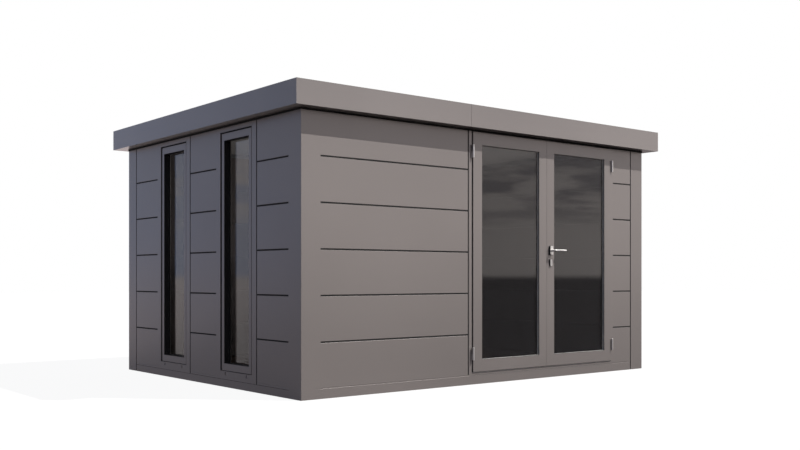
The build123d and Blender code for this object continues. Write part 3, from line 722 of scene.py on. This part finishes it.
# The packing is painted shade: black rubber that darkens the window gaps.
packing = []
gap_low, gap_high = WINDOW_LOW - GAP_BELOW, WINDOW_HIGH + GAP_ABOVE
for start, end in WINDOWS:
    for stretch, heights, rounding in (
        ((start - SIDE_GAP, start - PACKING_PLAY), (gap_low, gap_high), PACKING_ROUNDING),
        ((end + PACKING_PLAY, end + SIDE_GAP), (gap_low, gap_high), PACKING_ROUNDING),
        ((start, end), (WINDOW_HIGH + PACKING_PLAY, gap_high), PACKING_ROUNDING),
        ((start, end), (gap_low, WINDOW_LOW - PACKING_PLAY), THIN_PACKING_ROUNDING),
    ):
        packing.append(length_of(*in_wall("left", stretch, WINDOW_DEPTHS, heights), rounding))
fitted(joined("window_shade_packing", packing), "shed", rubber)

# %% [markdown]
# ## Rubber round the doors, with painted shade in the gaps
#
# In the narrow gap beside each leaf, a black strip on the jamb is painted shade: it makes
# the gap as black as deep shade. It could run the whole height, but the hinge plates lie
# in the same gap, so it is cut short at each hinge. A bulb seal on the stop takes the
# closed leaf. Both stay on the door frame when the leaves open.

# %% Door gap strips and bulb seals
GAP_STRIPS = ((-0.2908, -0.2836), (1.4826, 1.4898))
GAP_STRIP_DEPTHS = (0.0015, 0.0140)
GAP_STRIP_ROUNDING = 0.001
HINGE_FREE_HEIGHTS = ((0.0965, 0.1960), (0.3100, 1.8580), (1.9720, 2.0780))
BULB_DEPTHS = (0.0414, 0.0468)
BULB_ROUNDING = 0.0024
# Stretch and heights of the left, right and head bulb seals
BULBS = (
    ((-0.2800, -0.2720), (0.110, 2.076)),
    ((1.4710, 1.4790), (0.110, 2.076)),
    ((-0.2715, 1.4705), (2.0660, 2.0740)),
)

# The gap strips are painted shade: black pieces that darken the gaps beside the leaves.
gap_strips = [
    length_of(*in_wall("front", stretch, GAP_STRIP_DEPTHS, heights), GAP_STRIP_ROUNDING)
    for stretch in GAP_STRIPS
    for heights in HINGE_FREE_HEIGHTS
]
fitted(joined("door_gap_shade_strips", gap_strips), "shed", rubber)

bulbs = [
    length_of(*in_wall("front", stretch, BULB_DEPTHS, heights), BULB_ROUNDING)
    for stretch, heights in BULBS
]
fitted(joined("door_bulb_seals", bulbs), "shed", rubber)

# %% [markdown]
# ## Meeting strip
#
# Where the two leaves meet, a slim steel strip on the left leaf narrows the gap to the
# fine line that the picture shows. Moving the leaves closer would do it too, but it
# would leave their thick edges less room to swing past each other. The strip moves with
# its leaf.

# %% Meeting strip
MEETING_LOW, MEETING_HIGH = (0.5982, -1.5083, 0.104), (0.6005, -1.5020, 2.075)
STEEL_ROUNDING = 0.0004

meeting = length_of(MEETING_LOW, MEETING_HIGH, STEEL_ROUNDING)
fitted(joined("meeting_strip", [meeting]), "left_door", wall_steel)

# %% [markdown]
# ## Eaves filler, painted shade under the soffit
#
# The soffit of the fascia rests on the walls, and a black rubber filler runs round the
# shed where the two meet, as painted shade under the soffit. Left to the shadow, the line
# would fade towards the light; the filler keeps it dark all round. Four straight lengths
# meet at the corners.

# %% Eaves filler
FILLER_HEIGHTS = (2.0805, 2.0925)
FILLER_DEPTHS = (-0.006, 0.001)
FILLER_ROUNDING = 0.0018

# The filler is painted shade: a black band where the soffit's shade falls.
fillers = [
    length_of(*in_wall(wall, stretch, FILLER_DEPTHS, FILLER_HEIGHTS), FILLER_ROUNDING)
    for wall, stretch in (
        ("front", (WALL_LEFT, WALL_RIGHT)),
        ("back", (WALL_LEFT, WALL_RIGHT)),
        ("left", (WALL_FRONT, WALL_BACK)),
        ("right", (WALL_FRONT, WALL_BACK)),
    )
]
fitted(joined("eaves_shade_filler", fillers), "shed", rubber)

# %% [markdown]
# ## Beads and lips round the door panes, pale as painted light
#
# The panes are held from inside by beads with a pale coat, like the ceiling. The pale
# coat is painted light: seen at a slant through the glass, the beads show as a light strip
# beside the dark seal, though they sit where the frame is in shade. In front of the pane a
# thin lip of the same pale coat, painted light too, finishes the seal. Both could be
# painted on the frame, but then they would be black where the frame is in shade. Here
# each is a closed frame, one millimetre thick, and moves with its leaf.

# %% Door beads and lips
# The pale bead coat is painted light, standing in for light on reveals that lie in shade.
PAINTED_LIGHT_BEAD = (0.84, 0.82, 0.79)
painted_light_coat, *_ = powder_coat("painted_light_bead_coat", PAINTED_LIGHT_BEAD, 0.5, 0.0)

BEAD_THICKNESS = 0.001
DOOR_PANES = (("left_door", -0.1828, 0.5038), ("right_door", 0.6952, 1.3818))
DOOR_PANE_LOW, DOOR_PANE_HIGH = 0.2002, 1.9718
DOOR_BEAD_Y, DOOR_BEAD_DEPTH = -1.4768, 0.0172
LIP_Y, LIP_DEPTH, LIP_INSET = -1.5005, 0.0093, 0.003


def round_door_pane(x_low, x_high, y, depth, inset=0.0):
    """A frame round a door pane, drawn in by inset from the pane's edges."""
    return closed_frame(
        ((x_low + x_high) / 2, y, (DOOR_PANE_LOW + DOOR_PANE_HIGH) / 2),
        x_high - x_low - 2 * inset,
        DOOR_PANE_HIGH - DOOR_PANE_LOW - 2 * inset,
        BEAD_THICKNESS,
        depth,
        FACING_FRONT,
    )


for body, x_low, x_high in DOOR_PANES:
    bead = round_door_pane(x_low, x_high, DOOR_BEAD_Y, DOOR_BEAD_DEPTH)
    fitted(joined(body + "_bead", [bead]), body, painted_light_coat)
for body, x_low, x_high in DOOR_PANES:
    lip = round_door_pane(x_low, x_high, LIP_Y, LIP_DEPTH, LIP_INSET)
    fitted(joined(body + "_painted_light_glazing_lip", [lip]), body, painted_light_coat)

# %% [markdown]
# ## Beads behind the window panes
#
# The two windows have the same pale beads on their inner side, whose pale coat is
# painted light as well. A lip in front would not be seen, because the panes lie so deep
# in the wall, so there is none.

# %% Window beads
WINDOW_PANE_LOW, WINDOW_PANE_HIGH = 0.1882, 1.9788
WINDOW_PANES = ((-0.7538, -0.3602), (0.3502, 0.7438))
WINDOW_BEAD_X, WINDOW_BEAD_DEPTH = WALL_LEFT + 0.0722, 0.0074

beads = [
    closed_frame(
        (WINDOW_BEAD_X, (y_low + y_high) / 2, (WINDOW_PANE_LOW + WINDOW_PANE_HIGH) / 2),
        y_high - y_low,
        WINDOW_PANE_HIGH - WINDOW_PANE_LOW,
        BEAD_THICKNESS,
        WINDOW_BEAD_DEPTH,
        FACING_LEFT,
    )
    for y_low, y_high in WINDOW_PANES
]
fitted(joined("window_painted_light_beads", beads), "shed", painted_light_coat)

# %% [markdown]
# ## Shells of the handle plates, painted shade on their sides
#
# The rose behind the lever and the small plate over the lock get black rubber shells on
# their sides as painted shade, so their sides look black from the left and only their
# fronts shine.
# The sides could take a finish of their own, but they belong to the frame's mesh, which
# stays as it is. So each shell is a closed frame with rounded corners, pulled over the
# plate's side, on both faces of the right leaf.

# %% Handle plate shells
HANDLE_X, HANDLE_Z, LOCK_Z = 0.648, 1.116, 1.010
ROSE = (0.037, 0.078, 0.008)
LOCK_PLATE = (0.027, 0.061, 0.008)
ROSE_FRONT_Y, LOCK_FRONT_Y, INNER_PLATES_Y = -1.5240, -1.5185, -1.4589
ROSE_SHELL_DEPTH, LOCK_SHELL_DEPTH = 0.0149, 0.0094
SHELL_PLAY, SHELL_BAND = 0.0012, 0.0011


def shell(height, plate, front, depth):
    """A shell round a plate, given by the plate's width, length and corner radius."""
    width, length, corner = plate
    return closed_frame(
        (HANDLE_X, front, height),
        width + 2 * SHELL_PLAY,
        length + 2 * SHELL_PLAY,
        SHELL_BAND,
        depth,
        FACING_FRONT,
        corner + SHELL_PLAY,
    )


# The black shells are painted shade on the sides of the plates.
shells = [
    shell(HANDLE_Z, ROSE, ROSE_FRONT_Y, ROSE_SHELL_DEPTH),
    shell(LOCK_Z, LOCK_PLATE, LOCK_FRONT_Y, LOCK_SHELL_DEPTH),
    shell(HANDLE_Z, ROSE, INNER_PLATES_Y, ROSE_SHELL_DEPTH),
    shell(LOCK_Z, LOCK_PLATE, INNER_PLATES_Y, LOCK_SHELL_DEPTH),
]
fitted(joined("handle_plate_shade_shells", shells), "right_door", rubber)

# %% [markdown]
# ## Threshold tread
#
# A ribbed metal strip on the threshold takes the wear of feet and barrow wheels. It
# could be a bump pattern, but its ribs show in outline when the doors are open, so it is
# a thin plate with seven ribs, one modelled and the others copied.

# %% Tread
TREAD_STRETCH = (-0.2905, 1.4895)
TREAD_DEPTHS, RIB_DEPTHS = (0.0015, 0.0440), (0.0030, 0.0055)
TREAD_FOOT, TREAD_FACE, RIB_TOP = 0.0941, 0.0955, 0.0972
RIB_COUNT, RIB_PITCH, RIB_ROUNDING = 7, 0.006, 0.0006

flat = in_wall("front", TREAD_STRETCH, TREAD_DEPTHS, (TREAD_FOOT, TREAD_FACE))
plate = length_of(*flat, STEEL_ROUNDING)
first_rib = in_wall("front", TREAD_STRETCH, RIB_DEPTHS, (TREAD_FACE, RIB_TOP))
rib = length_of(*first_rib, RIB_ROUNDING)
ribs = [rib] + [copied(rib, (0, RIB_PITCH * count, 0)) for count in range(1, RIB_COUNT)]
fitted(joined("threshold_tread", [plate] + ribs), "shed", stainless)

# %% [markdown]
# ## A roof screw
#
# The roof sheets are screwed down through the crests of their ribs, where no water
# stands. A screw is a wide washer with a round head. A cylinder for each would leave two
# separate bodies, so one round cylinder is made for the washer, and its top face is
# inset, drawn up for the head and rounded.

# %% One screw
WASHER_RADIUS, WASHER_THICKNESS = 0.0095, 0.0016
HEAD_RADIUS, HEAD_HEIGHT, HEAD_ROUNDING = 0.0056, 0.0050, 0.0008

deselect_all()
bpy.ops.mesh.primitive_cylinder_add(
    vertices=24,
    radius=WASHER_RADIUS,
    depth=WASHER_THICKNESS,
    location=(0, 0, WASHER_THICKNESS / 2),
)
screw = bpy.context.active_object
set_in_place(screw)
pick(screw, "FACE", lambda mesh, face: face.normal.z > 0.9)
bpy.ops.mesh.inset(thickness=WASHER_RADIUS - HEAD_RADIUS)
bpy.ops.mesh.extrude_region_move(TRANSFORM_OT_translate={"value": (0, 0, HEAD_HEIGHT)})
bpy.ops.mesh.bevel(offset=HEAD_ROUNDING, segments=2, affect="EDGES")
bpy.ops.object.mode_set(mode="OBJECT")
print("a screw has", len(screw.data.polygons), "faces")

# %% [markdown]
# ## Screws along the crests
#
# Each crest takes four screws. Their heights could be written down one by one, but the
# sheets fall towards the back, so the height of a crest at its two ends is read from the
# sheets themselves and each screw is set on the line between them, pressed in a little.

# %% Screws along the crests
FIRST_CREST, CREST_PITCH, CREST_COUNT = -1.88467, 0.342667, 12
SCREW_ROWS = (-1.40, -0.48, 0.44, 1.36)
SCREW_BITE = 0.0002

roof_points = [
    vertex.co
    for count in range(1, 5)
    for vertex in frame["nodes"][f"roof_panel_{count}"].data.vertices
]
front_end = min(point.y for point in roof_points)
back_end = max(point.y for point in roof_points)
front_crest = max(point.z for point in roof_points if point.y < front_end + 0.01)
back_crest = max(point.z for point in roof_points if point.y > back_end - 0.01)

screws = []
for column in range(CREST_COUNT):
    for y in SCREW_ROWS:
        fallen = (y - front_end) / (back_end - front_end) * (front_crest - back_crest)
        spot = (FIRST_CREST + CREST_PITCH * column, y, front_crest - fallen - SCREW_BITE)
        screws.append(copied(screw, spot))
bpy.data.objects.remove(screw)
fitted(joined("roof_screws", screws), "shed", galvanized)

# %% [markdown]
# ## Plate behind the fascia joint
#
# The front fascia comes in two lengths, which meet beside the doors with a narrow joint.
# Closing the joint would lose the line that the picture shows, so a plain plate behind
# it holds the lengths in line and closes the slit.

# %% Plate behind the fascia joint
PLATE_LOW, PLATE_HIGH = (-0.446, -1.6058, 2.100), (-0.346, -1.6043, 2.266)

joint_plate = length_of(PLATE_LOW, PLATE_HIGH, STEEL_ROUNDING)
fitted(joined("fascia_joint_plate", [joint_plate]), "shed", wall_steel)

# %% [markdown]
# ## Sun
#
# The sun comes from the front right, high enough that the fascia throws a sharp shadow
# on the wall below it. A lamp nearby would do, but its light would fan out, while a Sun
# light keeps every shadow parallel. Its small angle keeps their edges crisp.

# %% Sun
SUN_HEADING = Vector((-1, 1, -1.73))
SUN_STRENGTH = 5.4
SUN_COLOUR = (1, 0.965, 0.93)

sun_data = bpy.data.lights.new("sun", "SUN")
sun_data.energy = SUN_STRENGTH
sun_data.angle = math.radians(0.5)
sun_data.color = SUN_COLOUR
sun = bpy.data.objects.new("sun", sun_data)
bpy.context.scene.collection.objects.link(sun)
sun.rotation_euler = SUN_HEADING.to_track_quat("-Z", "Y").to_euler()
print("sun from", [round(-v, 2) for v in SUN_HEADING.normalized()])

# %% [markdown]
# ## Light on the ceiling
#
# Daylight through so much glass lights up a pale ceiling from below. The world alone
# gives too little of it through tinted panes, so a weak area light at table height
# points up at the ceiling. It throws light but can't be seen, also not in a mirror.

# %% Ceiling light
CEILING_LIGHT_SIZE = (3.2, 2.2)
CEILING_LIGHT_HEIGHT = 0.9
CEILING_LIGHT_POWER = 9

ceiling_data = bpy.data.lights.new("ceiling_light", "AREA")
ceiling_data.shape = "RECTANGLE"
ceiling_data.size, ceiling_data.size_y = CEILING_LIGHT_SIZE
ceiling_data.energy = CEILING_LIGHT_POWER
ceiling_light = bpy.data.objects.new("ceiling_light", ceiling_data)
bpy.context.scene.collection.objects.link(ceiling_light)
ceiling_light.location = (0, 0, CEILING_LIGHT_HEIGHT)
ceiling_light.rotation_euler = (math.pi, 0, 0)
ceiling_light.visible_camera = False
ceiling_light.visible_glossy = False
ceiling_light.visible_transmission = False
print("ceiling light of", CEILING_LIGHT_POWER, "watts")

# %% [markdown]
# ## Colours of the sky
#
# The rest of the light is the sky's. A sky picture would do that, but none is used here,
# so the sky and what mirrors see of the ground are built from a few colours, one set for
# each side: towards the sun, to the left and to the back. The colours were matched to
# one picture.

# %% Colours of the sky
COOL_SKY = (0.20, 0.25, 0.36, 1)
WARM_SKY = (0.34, 0.355, 0.42, 1)
SHADED_GROUND = (0.080, 0.068, 0.064, 1)
HIGH_MIRROR_SKY = (0.26, 0.29, 0.36, 1)
FRONT_MIRROR_SKY = (1.25, 1.15, 1.10, 1)
LEFT_MIRROR_SKY = (0.045, 0.085, 0.21, 1)
BACK_MIRROR_SKY = (0.38, 0.48, 0.72, 1)
MIRROR_CLOUD = (0.54, 0.50, 0.52, 1)
FRONT_MIRROR_GROUND = (0.085, 0.074, 0.080, 1)
LEFT_MIRROR_GROUND = (0.24, 0.210, 0.210, 1)
BACK_MIRROR_GROUND = (0.76, 0.66, 0.66, 1)
print("the warm side of the sky is", WARM_SKY[:3])

# %% [markdown]
# ## Sides of the sky
#
# One helper works out how far a direction points to each side, and another mixes the
# three colours of a set by it. Three lamps of different colours would throw shadows of
# their own, while a mixed sky passes softly from one side to the next. Both helpers
# serve the sky and the ground.

# %% Sides of the sky
SUN_SIDE = (0.7071, -0.7071, 0)


def ranged(tree, socket, low, high):
    """0 below low, 1 above high, smooth between."""
    spread = add_node(
        tree,
        "ShaderNodeMapRange",
        {"interpolation_type": "SMOOTHSTEP"},
        From_Min=low,
        From_Max=high,
    )
    tree.links.new(socket, spread.inputs["Value"])
    return spread.outputs["Result"]


def sides_of(tree, source, output):
    """How far a direction points to the sun's side and to the back, and its parts."""
    towards_sun = add_node(tree, "ShaderNodeVectorMath", {"operation": "DOT_PRODUCT"})
    towards_sun.inputs[1].default_value = SUN_SIDE
    join(tree, source, output, towards_sun, "Vector")
    parts = add_node(tree, "ShaderNodeSeparateXYZ")
    join(tree, source, output, parts, "Vector")
    sunwards = ranged(tree, towards_sun.outputs["Value"], -0.8, 0.8)
    rearwards = ranged(tree, parts.outputs["X"], -0.8, -0.2)
    return sunwards, rearwards, parts


def by_side(tree, sunwards, rearwards, left, back, front):
    """The colour of a side, mixed from those of the left, the back and the front."""
    return blended(tree, sunwards, blended(tree, rearwards, left, back), front)


def seen_plainly(tree, rays):
    """1 for what the camera sees, also through glass."""
    return worked_out(tree, "MAXIMUM", rays["Is Camera Ray"], rays["Is Transmission Ray"])


print("the sun's side is", SUN_SIDE)

# %% [markdown]
# ## Soft skylight
#
# Matt surfaces are lit by the whole sky at once, so clouds would make hardly any
# difference to them. Their sky is only warmer towards the sun, and dark below the
# horizon.

# %% Soft skylight
world = bpy.data.worlds.new("sky")
bpy.context.scene.world = world
world.use_nodes = True
sky_tree = world.node_tree
sky_tree.nodes.clear()

looking = add_node(sky_tree, "ShaderNodeTexCoord")
sunwards, rearwards, sky_parts = sides_of(sky_tree, looking, "Generated")
above = ranged(sky_tree, sky_parts.outputs["Z"], -0.004, 0.004)
soft_sky = blended(sky_tree, sunwards, COOL_SKY, WARM_SKY)
soft_light = blended(sky_tree, above, SHADED_GROUND, soft_sky)
print("soft sky made of", len(sky_tree.nodes), "nodes")

# %% [markdown]
# ## Clouds for the mirrors
#
# The door glass shows a sky with drifting clouds. Plain noise on the sky's dome would
# give clouds of one size. Divided by its height above the horizon, a direction becomes a
# place on a flat layer of cloud, and the clouds shrink towards the horizon as real ones
# do. The lowest band of sky stays clear.

# %% Clouds
LAYER_LIFT = 0.12

layer_height = worked_out(sky_tree, "ADD", sky_parts.outputs["Z"], LAYER_LIFT)
cloud_layer = add_node(sky_tree, "ShaderNodeVectorMath", {"operation": "DIVIDE"})
join(sky_tree, looking, "Generated", cloud_layer, "Vector")
sky_tree.links.new(layer_height, cloud_layer.inputs[1])
clouds = add_node(sky_tree, "ShaderNodeTexNoise", Scale=2.0, Detail=6, Roughness=0.55)
join(sky_tree, cloud_layer, "Vector", clouds, "Vector")
cloud_shapes = ranged(sky_tree, clouds.outputs["Fac"], 0.44, 0.60)
clear_of_horizon = ranged(sky_tree, sky_parts.outputs["Z"], 0.035, 0.085)
cloud_cover = worked_out(sky_tree, "MULTIPLY", cloud_shapes, clear_of_horizon)
print("clouds made")

# %% [markdown]
# ## The sky for each kind of ray
#
# Mirrors see the coloured sky with its clouds over dark ground, matt surfaces the soft
# one, and the camera plain white, as in a product picture. One sky for all could not be
# white behind the shed and dark in its glass. The Light Path node tells the rays apart.

# %% World
rising = ranged(sky_tree, sky_parts.outputs["Z"], 0.08, 0.36)
sides = (sunwards, rearwards)
low_sky = by_side(sky_tree, *sides, LEFT_MIRROR_SKY, BACK_MIRROR_SKY, FRONT_MIRROR_SKY)
clear_sky = blended(sky_tree, rising, low_sky, HIGH_MIRROR_SKY)
cloudy_sky = blended(sky_tree, cloud_cover, clear_sky, MIRROR_CLOUD)
low_ground = by_side(
    sky_tree, *sides, LEFT_MIRROR_GROUND, BACK_MIRROR_GROUND, FRONT_MIRROR_GROUND
)
mirror_world = blended(sky_tree, above, low_ground, cloudy_sky)

rays = add_node(sky_tree, "ShaderNodeLightPath").outputs
lit = blended(sky_tree, rays["Is Glossy Ray"], soft_light, mirror_world)
seen = blended(sky_tree, seen_plainly(sky_tree, rays), lit, (1, 1, 1, 1))
background = add_node(sky_tree, "ShaderNodeBackground", Strength=1)
sky_tree.links.new(seen, background.inputs["Color"])
world_output = add_node(sky_tree, "ShaderNodeOutputWorld")
join(sky_tree, background, "Background", world_output, "Surface")
print("sky made of", len(sky_tree.nodes), "nodes")

# %% [markdown]
# ## The ground
#
# The shed stands on plain pale ground. The camera sees it as good as white, with only a
# trace of the shed's shadow, while the light that it throws back at the walls is that of
# ordinary ground. A shadow catcher would need the picture put together afterwards. So
# both are one material: what the camera sees and what the light sees are mixed by the
# kind of ray.

# %% Ground
GROUND_SIZE = 90
GROUND_DROP = 0.0005
GROUND_GLOW = 0.93
ORDINARY_GROUND = (0.11, 0.098, 0.090, 1)

deselect_all()
bpy.ops.mesh.primitive_plane_add(size=GROUND_SIZE, location=(0, 0, -GROUND_DROP))
ground = bpy.context.active_object
ground.name = "ground"

pale = bpy.data.materials.new("pale_ground")
pale.use_nodes = True
tree = pale.node_tree
tree.nodes.clear()
blotches = between(tree, noise(tree, 0.5, detail=3), "Fac", 0.95, 1.0)
seen_ground = add_node(tree, "ShaderNodeBsdfDiffuse")
join(tree, blotches, "Result", seen_ground, "Color")
glow = add_node(tree, "ShaderNodeEmission", Color=(1, 1, 1, 1), Strength=1)
seen_mix = add_node(tree, "ShaderNodeMixShader", Fac=GROUND_GLOW)
tree.links.new(seen_ground.outputs["BSDF"], seen_mix.inputs[1])
tree.links.new(glow.outputs["Emission"], seen_mix.inputs[2])

outwards = add_node(tree, "ShaderNodeVectorMath", {"operation": "NORMALIZE"})
join(tree, add_node(tree, "ShaderNodeTexCoord"), "Object", outwards, "Vector")
*sides, _ = sides_of(tree, outwards, "Vector")
mirrored = by_side(tree, *sides, LEFT_MIRROR_GROUND, BACK_MIRROR_GROUND, FRONT_MIRROR_GROUND)
mirror_ground = add_node(tree, "ShaderNodeEmission", Strength=1)
tree.links.new(mirrored, mirror_ground.inputs["Color"])

rays = add_node(tree, "ShaderNodeLightPath").outputs
dull_ground = add_node(tree, "ShaderNodeBsdfDiffuse", Color=ORDINARY_GROUND).outputs["BSDF"]
lighting = two_shaders(
    tree, rays["Is Glossy Ray"], dull_ground, mirror_ground.outputs["Emission"]
)
chosen = two_shaders(
    tree, seen_plainly(tree, rays), lighting.outputs["Shader"], seen_mix.outputs["Shader"]
)
ground_output = add_node(tree, "ShaderNodeOutputMaterial")
join(tree, chosen, "Shader", ground_output, "Surface")
ground.data.materials.append(pale)
print("ground laid,", GROUND_SIZE, "m across")

# %% [markdown]
# ## Picture settings
#
# A filmic view would soften the whites and shift the greys. The Standard view shows each
# colour as it was written, which is what a finish is judged by.

# %% Picture settings
bpy.context.scene.view_settings.view_transform = "Standard"
print("view transform", bpy.context.scene.view_settings.view_transform)
